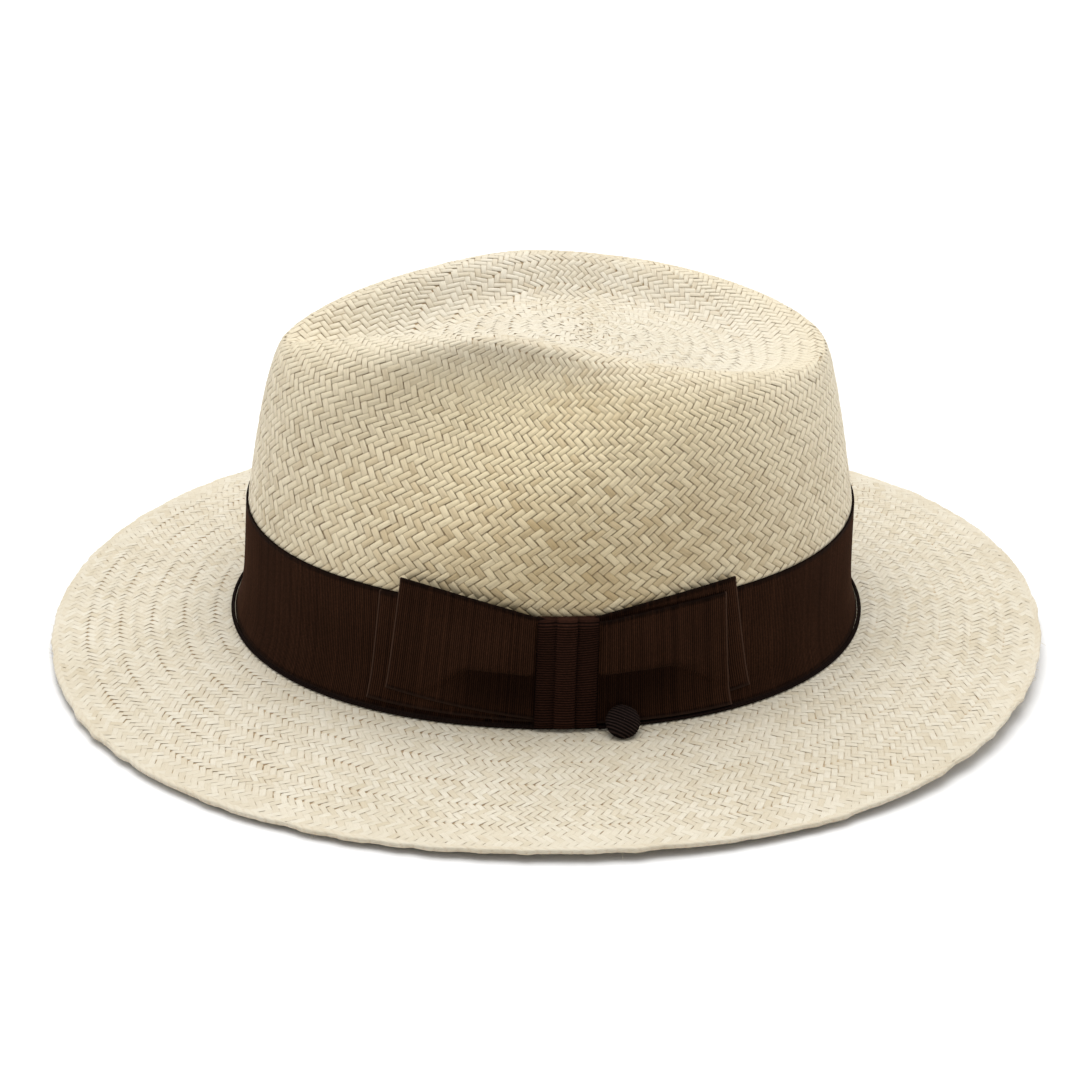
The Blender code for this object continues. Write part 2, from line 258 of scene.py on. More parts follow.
class Patch:
    """A grid of the hat's outer face, read at a (0 to 1 along) and u (0 to 1 round)."""

    def __init__(self, grid):
        self.grid, self.normal = grid, normals_of(grid)
        self.rows, self.cols = grid.shape[:2]
        self.length = np.linalg.norm(np.roll(grid, -1, 1) - grid, axis=-1).sum(1)

    def at(self, a, u):
        x = np.clip(a, 0, 1) * (self.rows - 1)
        i = np.minimum(x.astype(int), self.rows - 2)
        fx = (x - i)[..., None]
        y = (u % 1.0) * self.cols
        j = y.astype(int) % self.cols
        k = (j + 1) % self.cols
        fy = (y - np.floor(y))[..., None]
        out = []
        for g in (self.grid, self.normal):
            low = g[i, j] * (1 - fy) + g[i, k] * fy
            high = g[i + 1, j] * (1 - fy) + g[i + 1, k] * fy
            out.append(low * (1 - fx) + high * fx)
        n = out[1] / np.maximum(np.linalg.norm(out[1], axis=-1, keepdims=True), 1e-9)
        return out[0], n

    def around(self, a):
        return float(np.interp(a, np.linspace(0, 1, self.rows), self.length))


T = np.linspace(0, 2 * PI, 1440, endpoint=False)
COLS = 720
stations = [np.stack(crown_top(T, q), -1) for q in np.linspace(0.0, 1.0, 90)]
stations += [np.stack(crown_wall(T, f), -1) for f in np.linspace(1.0, 0.0, 180)[1:]]
for z in (39.0, 37.0, 35.0, 33.0):
    x, y = wall_low(z, T)
    stations.append(np.stack([x, y, np.full_like(x, z)], -1))
crown_grid = arc_even(np.array(stations), COLS)
crown_grid = arc_even(even_along(crown_grid, 420), COLS)
crown_grid = even_along(crown_grid, 420)
crown = Patch(crown_grid)

stations = []
for z in (2.4, 1.6, 0.8, 0.3):
    x, y = wall_low(z, T)
    stations.append(np.stack([x, y, np.full_like(x, z)], -1))
stations += [np.stack(brim(T, s), -1) for s in np.linspace(0.0, 0.99, 110)]
flat = Patch(even_along(arc_even(np.array(stations), COLS), 200))

# ---------------------------------------------------------------- materials
def new_material(name):
    mat = bpy.data.materials.new(name)
    mat.use_nodes = True
    tree = mat.node_tree
    bsdf = tree.nodes["Principled BSDF"]
    return mat, tree, bsdf


def node(tree, kind, **values):
    made = tree.nodes.new(kind)
    for key, value in values.items():
        setattr(made, key, value)
    return made


def mix_colour(tree, a, b, factor, blend="MIX"):
    """Mix node for colours: a and b are sockets or RGB tuples, factor a socket or a number."""
    made = node(tree, "ShaderNodeMix", data_type="RGBA", blend_type=blend)
    for socket, value in ((made.inputs[6], a), (made.inputs[7], b)):
        if isinstance(value, tuple):
            socket.default_value = (*value, 1.0)
        else:
            tree.links.new(value, socket)
    if isinstance(factor, (int, float)):
        made.inputs[0].default_value = factor
    else:
        tree.links.new(factor, made.inputs[0])
    return made.outputs[2]


def math_node(tree, op, a, b=0.0, c=None):
    made = node(tree, "ShaderNodeMath", operation=op)
    for socket, value in zip(made.inputs, (a, b) if c is None else (a, b, c)):
        if isinstance(value, (int, float)):
            socket.default_value = value
        else:
            tree.links.new(value, socket)
    return made.outputs[0]


def attribute(tree, name):
    return node(tree, "ShaderNodeAttribute", attribute_name=name).outputs["Fac"]


def noise(tree, vector, scale, detail=3.0, rough=0.5):
    made = node(tree, "ShaderNodeTexNoise")
    made.inputs["Scale"].default_value = scale
    made.inputs["Detail"].default_value = detail
    made.inputs["Roughness"].default_value = rough
    if vector is not None:
        tree.links.new(vector, made.inputs["Vector"])
    return made.outputs["Fac"]


def mapped(tree, socket, scale):
    made = node(tree, "ShaderNodeMapping")
    made.inputs["Scale"].default_value = scale
    tree.links.new(socket, made.inputs["Vector"])
    return made.outputs["Vector"]


def ramp(tree, factor, stops):
    made = node(tree, "ShaderNodeValToRGB")
    ends = made.color_ramp.elements
    while len(ends) < len(stops):
        ends.new(0.5)
    for end, (at, colour) in zip(ends, stops):
        end.position = at
        end.color = (*colour, 1.0)
    tree.links.new(factor, made.inputs["Fac"])
    return made.outputs["Color"]


def straw_material(name, light, deep, gap_shade_colour, gain=1.0, pale=None):
    """pale is (light, deep, gap) for where the pale attribute is 1: a paler copy of the palette, painted light."""
    mat, tree, bsdf = new_material(name)
    strand = node(tree, "ShaderNodeUVMap", uv_map="strand").outputs["UV"]
    place = node(tree, "ShaderNodeTexCoord").outputs["Object"]
    streak = noise(tree, mapped(tree, strand, (0.35, 7.0, 1.0)), 1.0, 4.0, 0.6)
    patchy = noise(tree, place, 26.0, 2.0)
    tint = attribute(tree, "tint")
    base = mix_colour(
        tree,
        tuple(c * gain for c in deep),
        tuple(c * gain for c in light),
        tint,
    )
    if pale:
        painted_light_colour = mix_colour(tree, pale[1], pale[0], tint)
        how_pale = attribute(tree, "pale")
        base = mix_colour(tree, base, painted_light_colour, how_pale)
        gap_shade_colour = mix_colour(tree, gap_shade_colour, pale[2], how_pale)
    fibres = ramp(tree, streak, [(0.30, (0.80, 0.77, 0.70)), (0.48, (1.0, 1.0, 1.0)), (0.75, (1.05, 1.05, 1.04))])
    base = mix_colour(tree, base, fibres, 0.75, "MULTIPLY")
    wash = ramp(tree, patchy, [(0.35, (0.94, 0.93, 0.90)), (0.65, (1.04, 1.04, 1.04))])
    base = mix_colour(tree, base, wash, 0.55, "MULTIPLY")
    # Painted shade: the gap attribute darkens float ends and sides and the rim's underside towards the gap colour.
    base = mix_colour(tree, base, gap_shade_colour, attribute(tree, "gap_shade"))
    tree.links.new(base, bsdf.inputs["Base Color"])
    bsdf.inputs["Roughness"].default_value = 0.52
    bsdf.inputs["Specular IOR Level"].default_value = 0.35
    bsdf.inputs["Sheen Weight"].default_value = 0.07
    bsdf.inputs["Sheen Roughness"].default_value = 0.35
    bump = node(tree, "ShaderNodeBump")
    bump.inputs["Strength"].default_value = 0.25
    bump.inputs["Distance"].default_value = 0.0001
    tree.links.new(streak, bump.inputs["Height"])
    tree.links.new(bump.outputs["Normal"], bsdf.inputs["Normal"])
    return mat


STRAW_LIGHT = (0.74, 0.675, 0.535)
STRAW_DEEP = (0.64, 0.545, 0.385)
# Painted shade colour for the gaps of the inside weave.
GAP_SHADE_BROWN = (0.30, 0.17, 0.065)
# Painted light and shade: the warm strand colours stand for the shaded wall and the pale palette for lit surfaces,
# and the pale attribute mixes them.
straw = straw_material(
    "straw_strands", (0.775, 0.650, 0.412), (0.510, 0.372, 0.180), (0.070, 0.031, 0.009),
    pale=((0.72, 0.664, 0.545), (0.63, 0.552, 0.412), (0.42, 0.27, 0.12)),
)
straw_inside = straw_material("straw_inside", STRAW_LIGHT, STRAW_DEEP, GAP_SHADE_BROWN, 0.94)

core_mat, tree, bsdf = new_material("straw_core")
tex = noise(tree, node(tree, "ShaderNodeTexCoord").outputs["Object"], 900.0, 2.0)
tree.links.new(
    ramp(tree, tex, [(0.3, (0.30, 0.20, 0.10)), (0.7, (0.52, 0.39, 0.24))]),
    bsdf.inputs["Base Color"],
)
bsdf.inputs["Roughness"].default_value = 0.8


def ribbon_material(name, low, high, sheen, rough=0.55, edge=(0.066, 0.038, 0.027)):
    """Grosgrain: the rib attribute is 1 on a rib's crest, painted lit, while the grooves are painted shaded; the
    edge attribute is 1 on a cut or woven edge, painted lighter, partly the edge's own colour and partly a painted
    highlight.
    """
    mat, tree, bsdf = new_material(name)
    place = node(tree, "ShaderNodeTexCoord").outputs["Object"]
    grain = noise(tree, place, 1500.0, 2.0)
    broad = noise(tree, place, 55.0, 3.0)
    base = mix_colour(tree, low, high, attribute(tree, "rib"))
    base = mix_colour(tree, base, ramp(tree, grain, [(0.3, (0.7, 0.7, 0.7)), (0.7, (1.25, 1.25, 1.25))]), 0.8, "MULTIPLY")
    base = mix_colour(tree, base, ramp(tree, broad, [(0.3, (0.85, 0.82, 0.8)), (0.7, (1.15, 1.15, 1.15))]), 0.7, "MULTIPLY")
    base = mix_colour(tree, base, edge, attribute(tree, "edge"))
    tree.links.new(base, bsdf.inputs["Base Color"])
    bsdf.inputs["Roughness"].default_value = rough
    bsdf.inputs["Specular IOR Level"].default_value = 0.03
    bsdf.inputs["Sheen Weight"].default_value = sheen
    bsdf.inputs["Sheen Roughness"].default_value = 0.5
    bsdf.inputs["Sheen Tint"].default_value = (0.70, 0.42, 0.28, 1.0)
    bump = node(tree, "ShaderNodeBump")
    bump.inputs["Strength"].default_value = 0.3
    bump.inputs["Distance"].default_value = 0.00005
    tree.links.new(grain, bump.inputs["Height"])
    tree.links.new(bump.outputs["Normal"], bsdf.inputs["Normal"])
    return mat


grosgrain = ribbon_material("grosgrain_ribs", (0.0022, 0.0004, 0.0001), (0.044, 0.0180, 0.0092), 0.035, 0.85)
grosgrain_knot = ribbon_material("grosgrain_knot_ribs", (0.0003, 0.0001, 0.0001), (0.036, 0.0140, 0.0085), 0.0, 0.85)
button_cloth = ribbon_material("button_cloth_ribs", (0.0001, 0.00005, 0.00005), (0.033, 0.0205, 0.0175), 0.0, 0.8)
elastic = ribbon_material("elastic_braid", (0.002, 0.0007, 0.0004), (0.016, 0.009, 0.007), 0.0, 0.85)
satin = ribbon_material("satin_bow", (0.012, 0.007, 0.005), (0.030, 0.018, 0.013), 0.1, 0.35)

leather, tree, bsdf = new_material("sweatband_hide")
place = node(tree, "ShaderNodeTexCoord").outputs["Object"]
cells = node(tree, "ShaderNodeTexVoronoi", feature="DISTANCE_TO_EDGE")
cells.inputs["Scale"].default_value = 850.0
tree.links.new(place, cells.inputs["Vector"])
blotch = noise(tree, place, 40.0, 4.0)
tone = ramp(tree, blotch, [(0.3, (0.24, 0.125, 0.055)), (0.7, (0.36, 0.20, 0.10))])
pores = ramp(tree, cells.outputs["Distance"], [(0.0, (0.72, 0.68, 0.62)), (0.12, (1.0, 1.0, 1.0))])
tree.links.new(mix_colour(tree, tone, pores, 0.8, "MULTIPLY"), bsdf.inputs["Base Color"])
bsdf.inputs["Roughness"].default_value = 0.42
bump = node(tree, "ShaderNodeBump")
bump.inputs["Strength"].default_value = 0.35
bump.inputs["Distance"].default_value = 0.0001
tree.links.new(cells.outputs["Distance"], bump.inputs["Height"])
tree.links.new(bump.outputs["Normal"], bsdf.inputs["Normal"])

reed_mat, tree, bsdf = new_material("reed_cover")
tex = noise(tree, node(tree, "ShaderNodeTexCoord").outputs["Object"], 400.0, 3.0)
tree.links.new(ramp(tree, tex, [(0.3, (0.30, 0.20, 0.11)), (0.7, (0.46, 0.34, 0.21))]), bsdf.inputs["Base Color"])
bsdf.inputs["Roughness"].default_value = 0.5

thread_mat, tree, bsdf = new_material("stitch_thread")
tex = noise(tree, mapped(tree, node(tree, "ShaderNodeTexCoord").outputs["Object"], (1.0, 1.0, 1.0)), 2500.0, 2.0)
tree.links.new(ramp(tree, tex, [(0.3, (0.42, 0.32, 0.19)), (0.7, (0.66, 0.55, 0.38))]), bsdf.inputs["Base Color"])
bsdf.inputs["Roughness"].default_value = 0.7

tin_mat, tree, bsdf = new_material("tinplate_worn")
tex = noise(tree, node(tree, "ShaderNodeTexCoord").outputs["Object"], 700.0, 4.0)
tree.links.new(ramp(tree, tex, [(0.3, (0.42, 0.42, 0.43)), (0.7, (0.62, 0.62, 0.63))]), bsdf.inputs["Base Color"])
bsdf.inputs["Metallic"].default_value = 1.0
bsdf.inputs["Roughness"].default_value = 0.32


# ------------------------------------------------------------- the weave
WAVES = [(rng.integers(2, 22), rng.uniform(0.5, 7.0), rng.random(), rng.normal(0, 1)) for _ in range(14)]


def drift(a, u, turn):
    """Slow wander of the rows, in rows."""
    return sum(
        size * 0.11 * np.sin(2 * PI * (k * u + m * a + turn * (q + 0.37) * 5.0)) for k, m, q, size in WAVES
    )


def weave(name, patch, rows, zones, mat, side=1, fine=True, stands_for=(), relief=1.0, open_ends=1.0, calm=None, slim=False, warp=None, dip=1.0, pale=None):
    """Floats of a 2/2 twill. Each zone is (first row, last row, strands each way).
    In a lattice p round, r along, a float going one way covers (p, r) and
    (p + 1, r + 1) where r = 4k, and one going the other way (p, r) and
    (p - 1, r + 1) where r = 4k + 2. side is 1 for the outside, -1 for the inside."""
    start, mid, way, count, width, height, tint, split, shift = [[] for _ in range(9)]
    for first, last, strands in zones:
        wide = {d: 0.99 - np.abs(rng.normal(0, 0.05, 2 * strands)) for d in (1, -1)}
        tone = {d: np.clip(rng.normal(0.62, 0.24, 2 * strands), 0, 1) for d in (1, -1)}
        slit = {d: rng.random(2 * strands) < 0.22 for d in (1, -1)}
        for r in range(first, last, 2):
            d = 1 if (r // 2) % 2 == 0 else -1
            p = np.arange(0, 2 * strands, 2)
            strand = (p - d * r) % (2 * strands)
            start.append(p.astype(float))
            mid.append(np.full(strands, float(r)))
            way.append(np.full(strands, d))
            count.append(np.full(strands, strands))
            width.append(wide[d][strand] + rng.normal(0, 0.015, strands))
            tint.append(np.clip(tone[d][strand] + rng.normal(0, 0.10, strands), 0, 1))
            split.append(slit[d][strand] & (rng.random(strands) < 0.8))
            height.append(rng.normal(0, 0.035, strands))
            shift.append(rng.normal(0, 0.03, strands))
    start, mid, way, count, width, height, tint, split, shift = [
        np.concatenate(x)[:, None, None] for x in (start, mid, way, count, width, height, tint, split, shift)
    ]
    if fine:
        s = np.array([-0.66, -0.49, -0.30, 1.30, 1.49, 1.66])
        dive = np.array([-0.40, -0.13, 0.05, 0.05, -0.13, -0.40])
        dark = np.array([1.0, 0.55, 0.0, 0.0, 0.55, 1.0])
        w = np.array([-0.5, -0.41, 0.0, 0.41, 0.5])
        dome = np.array([-0.14, 0.03, 0.06, 0.03, -0.14])
        side_shade = np.array([0.50, 0.0, 0.0, 0.0, 0.50])
        if slim:
            w = np.array([-0.5, -0.34, 0.34, 0.5])
            dome = np.array([-0.15, 0.04, 0.04, -0.15])
            side_shade = np.array([0.26, 0.0, 0.0, 0.26])
    else:
        s = np.array([-0.62, -0.25, 1.25, 1.62])
        dive = np.array([-0.30, 0.04, 0.04, -0.30])
        dark = np.array([0.75, 0.0, 0.0, 0.75])
        w = np.array([-0.5, 0.0, 0.5])
        dome = np.array([-0.14, 0.06, -0.14])
        side_shade = np.array([0.15, 0.0, 0.15])
    dive = np.where(dive < 0, dive * dip, dive)
    S, W = s[None, :, None], w[None, None, :]
    ww = W * width + shift
    P = np.where(way > 0, start + S + ww, start - S + ww)
    R = np.where(way > 0, mid + S - ww, mid + S + ww)
    u = P / (2 * count)
    a = R / rows
    P = P + drift(a, u, 1.0) * smooth(0.0, 0.12, a)
    R = R + drift(a, u, 2.0) * smooth(0.0, 0.12, a) * smooth(1.0, 0.96, a)
    u = P / (2 * count)
    a = R / rows
    paleness = np.ones_like(a) if pale is None else pale(a, u)
    if warp is not None:
        a = warp(a)
    at, n = patch.at(a, u)
    still = np.ones_like(a) if calm is None else calm(a)
    h = (dive[None, :, None] + dome[None, None, :] * relief + height * relief) * (0.35 + 0.65 * still)
    groove = split * (np.abs(W) < 0.1) * -0.11
    h = h + groove
    if side > 0:
        points = at + n * h[..., None]
    else:
        points = at - n * (STRAW + 0.55 * h)[..., None]
    points[..., 2] = np.maximum(points[..., 2], 0.08 - LIFT)
    ns, nw = len(s), len(w)
    tiles = len(start)
    faces = grid_faces(ns, nw, flip=side < 0)
    faces = (faces[None] + (np.arange(tiles) * ns * nw)[:, None, None]).reshape(-1, 4)
    # Some ends leave an open corner, most close up. The gap value paints shade where a float's ends and sides dive
    # under its neighbours.
    ends = np.where(S < 0.5, rng.random((tiles, 1, 1)), rng.random((tiles, 1, 1)))
    ends = (1 - open_ends) * ends**3 * 1.0 + open_ends * (0.45 + 0.55 * ends)
    corner = 0.30 + 0.70 * (2 * np.abs(W)) ** 2
    gap_shade = dark[None, :, None] * ends * corner + side_shade[None, None, :] * (0.28 + 0.72 * open_ends)
    gap_shade = np.clip(gap_shade + split * (np.abs(W) < 0.1) * 0.16, 0, 1) * (0.3 + 0.7 * still)
    gap_shade = gap_shade + 0 * h
    # Painted light: the upper wall and the front and back are painted a little lighter than the rest of their
    # strands.
    tones = tint + 0 * h + (0 if pale is None else 0.42 * (smooth(0.36, 0.48, R / rows) - smooth(0.60, 0.82, R / rows)) + 0.30 * np.cos(2 * PI * u) ** 2)
    uv = np.stack([S * 2.3 + start * 1.7 + 0 * h, W * 1.6 + mid * 3.1 + 0 * h], -1)
    return mesh_piece(
        name,
        points.reshape(-1, 3),
        faces,
        mat,
        stands_for,
        uv=uv.reshape(-1, 2),
        attrs={"tint": tones, "gap_shade": gap_shade, "pale": paleness},
    )


CROWN_ROWS = 108
ROUND = 168


def painted_light_paleness(a, u):
    """Painted light: the top is painted paler, as lit from above, and the wall warmer, as in shade, down to the
    band, less so at the front and back, which stay paler as in grazing light.
    """
    ends = np.cos(2 * PI * u) ** 2
    return 1 - (0.90 - 0.50 * ends) * smooth(0.30 + 0.06 * ends, 0.52 + 0.16 * ends, a)


def closer_on_top(x):
    """Rows lie closer on the crown's top than on its wall."""
    return np.clip(x, 0, 1) * (0.84 + 0.16 * np.clip(x, 0, 1))


marks = [0, 4, 8, 12, 20, 28, 36, 44]
zones = []
for first, last in zip(marks, marks[1:]):
    circ = crown.around(closer_on_top((first + 0.62 * (last - first)) / CROWN_ROWS))
    zones.append((first, last, min(ROUND, max(6, int(round(circ / 2.45))))))
TOP = dict(relief=0.6, open_ends=0.06, warp=closer_on_top, dip=0.62, pale=painted_light_paleness)
weave("straw_weave_tip", crown, CROWN_ROWS, zones, straw, stands_for=["straw_body"], **TOP)
weave("straw_weave_shoulder", crown, CROWN_ROWS, [(44, 60, ROUND)], straw, relief=0.8, open_ends=0.35, warp=closer_on_top, dip=0.8, pale=painted_light_paleness)
weave("straw_weave_wall", crown, CROWN_ROWS, [(60, CROWN_ROWS, ROUND)], straw, relief=1.1, open_ends=1.0, warp=closer_on_top, pale=painted_light_paleness)
weave(
    "straw_weave_inside", crown, CROWN_ROWS, [*zones, (44, CROWN_ROWS, ROUND)], straw_inside,
    side=-1, fine=False, warp=closer_on_top,
)
BRIM_ROWS = 48


def towards_edge(a):
    """The weave is doubled and beaten flat over the last dozen millimetres."""
    return 1 - smooth(0.80, 0.93, a)


brim_zones = [(0, 8, 226), (8, 16, 254), (16, 24, 282), (24, 32, 308), (32, 40, 332), (40, 48, 352)]
LYING = dict(relief=0.6, open_ends=0.06, calm=towards_edge, slim=True, dip=0.62)
weave("straw_weave_brim", flat, BRIM_ROWS, brim_zones[:3], straw, **LYING)
weave("straw_weave_brim_outer", flat, BRIM_ROWS, brim_zones[3:], straw, **LYING)
weave("straw_weave_underbrim", flat, BRIM_ROWS, brim_zones, straw_inside, side=-1, fine=False)

# The layer of strands below the floats, seen only through the gaps.
low = []
for z in (30.0, 24.0, 18.0, 12.0, 8.0, 5.0, 3.5):
    x, y = wall_low(z, T)
    low.append(np.stack([x, y, np.full_like(x, z)], -1))
low = arc_even(np.array(low), COLS)
body = np.concatenate([crown.grid[::6], low, flat.grid[::6]], 0)[:, ::3]
below = np.concatenate(
    [0.23 + 0.13 * smooth(0.36, 0.52, np.linspace(0, 1, len(crown.grid[::6]))), np.full(len(low), 0.36), np.full(len(flat.grid[::6]), 0.23)]
)[:, None, None]
n = normals_of(body)
top, under = body - below * n, body - 0.84 * n
top[..., 2] = np.maximum(top[..., 2], 0.5 - LIFT)
under[..., 2] = np.maximum(under[..., 2], 0.3 - LIFT)
loopy = np.concatenate([top, under[::-1]], 0)
mesh_piece(
    "straw_core",
    loopy.reshape(-1, 3),
    grid_faces(*loopy.shape[:2], wrap=True),
    core_mat,
)

# The brim's edge: strands turned back and braided into a firm rim.
COUNT = 2160
Te = np.linspace(0, 2 * PI, COUNT * 2, endpoint=False)
near_edge = arc_even(np.array([np.stack(brim(Te, s), -1) for s in (0.94, 1.0)]), COUNT)
edge, inward = near_edge[1], near_edge[0] - near_edge[1]
inward /= np.linalg.norm(inward, axis=-1, keepdims=True)
along = np.roll(edge, -1, 0) - np.roll(edge, 1, 0)
along /= np.linalg.norm(along, axis=-1, keepdims=True)
up = np.cross(along, inward)
up /= np.linalg.norm(up, axis=-1, keepdims=True)
if up[:, 2].mean() < 0:
    up = -up
profile = np.array(
    [
        (3.0, -0.34), (2.5, -0.12), (2.0, 0.02), (1.6, 0.09), (1.2, 0.14), (0.85, 0.17), (0.5, 0.14), (0.22, 0.02),
        (0.03, -0.28), (-0.05, -0.75), (0.04, -1.22), (0.35, -1.56), (0.9, -1.70), (1.6, -1.66), (2.4, -1.5), (3.0, -1.2),
    ]
)
u = np.arange(COUNT) / COUNT
wander = sum(rng.normal(0, 0.075) * np.sin(2 * PI * (k * u + rng.random())) for k in rng.integers(9, 90, 22))
rough_n = np.convolve(np.tile(rng.normal(0, 1, COUNT), 3), np.ones(7) / 7, "same")[COUNT : 2 * COUNT]
rim, rim_tint, rim_gap_shade = [], [], []
EDGE_TURNS = 296
for k, (inset, h) in enumerate(profile):
    phase = u * EDGE_TURNS + inset * 0.45
    saw = (phase + 0.12 * wander) % 1.0
    bead = np.sin(PI * saw) ** 0.7
    amount = 0.15 if 0.2 < inset < 4.8 else 0.10
    push = amount * (bead - 0.75) + 0.10 * rough_n
    out = edge + inward * (inset - 0.55 * wander * (inset < 1.2) - 0.24 * rough_n)[:, None]
    sign = 1.0 if h > -0.6 else -0.6
    out = out + up * (h + sign * push)[:, None]
    rim.append(out)
    rim_tint.append(np.clip(0.62 + 0.22 * np.sin(np.floor(phase) * 12.9898) + 0.03 * rough_n, 0, 1))
    # Painted shade between the rim's turned strands and on its lower half.
    rim_gap_shade.append(np.clip(0.42 * (1 - bead) ** 3 + (0.16 if h < -0.5 else 0.0), 0, 1))
rim = np.array(rim)
rim[..., 2] = np.maximum(rim[..., 2], 0.03 - LIFT)
uv = np.stack([np.repeat((u * 900)[None], len(profile), 0), np.repeat(profile[:, :1] * 1.5, COUNT, 1)], -1)
mesh_piece(
    "straw_rim",
    rim.reshape(-1, 3),
    grid_faces(len(profile), COUNT, wrap=True, flip=True),
    straw,
    uv=uv.reshape(-1, 2),
    attrs={"tint": np.array(rim_tint), "gap_shade": np.array(rim_gap_shade), "pale": np.ones((len(profile), COUNT))},
)

# Stray fibres at the edge.
fray_points, fray_faces, fray_uv = [], [], []


def fibre(path, radius):
    """A thin three-sided strand along a few points."""
    path = np.asarray(path, float)
    first = len(fray_points)
    for k, p in enumerate(path):
        ahead = path[min(k + 1, len(path) - 1)] - path[max(k - 1, 0)]
        ahead /= np.linalg.norm(ahead)
        side = np.cross(ahead, (0.3, 0.2, 1.0))
        side /= np.linalg.norm(side)
        other = np.cross(ahead, side)
        r = radius * (1 - 0.75 * k / (len(path) - 1))
        for j in range(3):
            a = 2 * PI * j / 3
            fray_points.append(p + r * (math.cos(a) * side + math.sin(a) * other))
            fray_uv.append((k * 2.0, j * 0.6))
    for k in range(len(path) - 1):
        for j in range(3):
            m = (j + 1) % 3
            fray_faces.append((first + 3 * k + j, first + 3 * k + m, first + 3 * k + 3 + m, first + 3 * k + 3 + j))


for _ in range(150):
    i = int(rng.integers(0, COUNT))
    base = edge[i] - up[i] * rng.uniform(0.2, 1.4) + inward[i] * rng.uniform(-0.05, 0.4)
    ahead = along[i] * rng.normal(0, 1.0) - inward[i] * rng.uniform(0.2, 0.9) + up[i] * rng.normal(-0.1, 0.45)
    ahead /= np.linalg.norm(ahead)
    curl = np.array([rng.normal(0, 0.25), rng.normal(0, 0.25), rng.normal(0, 0.15)])
    size = rng.uniform(0.6, 2.2)
    path = [base + ahead * size * q + curl * size * q * q for q in (0.0, 0.4, 0.75, 1.0)]
    path = [np.array([p[0], p[1], max(p[2], 0.15 - LIFT)]) for p in path]
    fibre(path, rng.uniform(0.05, 0.13))
mesh_piece(
    "straw_frays",
    np.array(fray_points),
    np.array(fray_faces),
    straw,
    uv=np.array(fray_uv),
    attrs={"tint": np.full(len(fray_points), 0.75), "gap_shade": np.zeros(len(fray_points)), "pale": np.ones(len(fray_points))},
)

# ---------------------------------------------------------------- ribbon
RIB = 0.65
RIB_SHAPE = np.array([0.0, 0.62, 1.0, 0.62])
LEVELS = np.array([0.0, 0.0, 0.010, 0.028, 0.045, 0.20, 0.36, 0.52, 0.68, 0.84, 0.955, 0.972, 0.990, 1.0, 1.0])
RIB_SIZE = np.array([0.0, 0.0, 0.15, 0.45, 1.0, 1, 1, 1, 1, 1, 1.0, 0.45, 0.15, 0.0, 0.0])
LIFTS = np.array([-0.6, -0.05, 0.06, 0.04, 0.0, 0, 0, 0, 0, 0, 0.0, 0.04, 0.06, -0.05, -0.6])
# EDGES paints a light line along the ribbon's selvages, partly their own colour and partly a painted highlight.
EDGES = np.array([0.0, 0.35, 0.30, 0.0, 0.0, 0, 0, 0, 0, 0, 0.0, 0.0, 0.06, 0.06, 0.0])


FINE = np.linspace(0.045, 0.955, 46)
LEVELS_FINE = np.concatenate([LEVELS[:4], FINE, LEVELS[-4:]])
RIB_SIZE_FINE = np.concatenate([RIB_SIZE[:4], np.ones(46), RIB_SIZE[-4:]])
LIFTS_FINE = np.concatenate([LIFTS[:4], np.zeros(46), LIFTS[-4:]])
EDGES_FINE = np.concatenate([EDGES[:4], np.zeros(46), EDGES[-4:]])


def ribbed(t_of, low, high, d, ribs, puff=None, wrap=False, ends=(0.0, 0.0), painted_fold_shade=None):
    """Rows of points of a ribbon lying on the crown, its ribs upright.
    t_of(k, z) gives the angle for k from 0 to 1 along the ribbon."""
    if puff is None:
        levels, sizes, lifts, edges = LEVELS, RIB_SIZE, LIFTS, EDGES
    else:
        levels, sizes, lifts, edges = LEVELS_FINE, RIB_SIZE_FINE, LIFTS_FINE, EDGES_FINE
    per = len(RIB_SHAPE)
    cols = ribs * per + (0 if wrap else 1)
    k = np.arange(cols) / (ribs * per)
    rib = np.tile(RIB_SHAPE, ribs + 1)[:cols]
    tone = rng.normal(0, 0.10, ribs + 1).repeat(per)[:cols]
    lo, hi = low(k), high(k)
    z = lo[None] + (hi - lo)[None] * levels[:, None]
    t = t_of(k[None], z)
    depth = d + lifts[:, None] + 0.17 * sizes[:, None] * (rib[None] - 0.6)
    if puff is not None:
        depth = depth + puff(k[None], z)
    points = off_wall(t, z, depth)
    # Painted light: rib crests get the light colour and grooves the dark one, as if lit and shaded.
    ribs_attr = np.clip(rib[None] * sizes[:, None] + tone[None], 0, 1)
    # Painted shade: the rib colour is darkened where a wing's fold would shade it.
    if painted_fold_shade is not None:
        ribs_attr = ribs_attr * (1 - 0.58 * painted_fold_shade(k[None], z))
    edge = np.repeat(edges[:, None], cols, 1)
    if not wrap:
        near = np.minimum(k, 1 - k) * ribs * RIB
        # The cut ends are painted lighter, partly the cut edge's own colour and partly a painted highlight.
        cut = np.exp(-((near / 0.34) ** 2)) * 1.0
        edge = np.maximum(edge, cut[None] * np.where(k < 0.5, ends[0], ends[1])[None] * (levels[:, None] >= 0))
    return points, ribs_attr, edge


BAND_RIBS = 880
Tw = np.linspace(0, 2 * PI, 4001)
run = np.concatenate([[0], np.cumsum(np.linalg.norm(np.diff(off_wall(Tw, 20.0, 0.6), axis=0), axis=1))])
BAND_LENGTH = float(run[-1])


def t_even(k):
    return np.interp(k * run[-1], run, Tw)


points, rib_a, edge_a = ribbed(
    lambda k, z: t_even(k) + 0 * z,
    lambda k: 0.6 + 0 * k,
    lambda k: band_top(t_even(k)),
    0.82,
    BAND_RIBS,
    wrap=True,
)
mesh_piece(
    "ribbon_band",
    points.reshape(-1, 3),
    grid_faces(*points.shape[:2], wrap=True, flip=True),
    grosgrain,
    ["hat_band"],
    attrs={"rib": rib_a, "edge": edge_a},
)


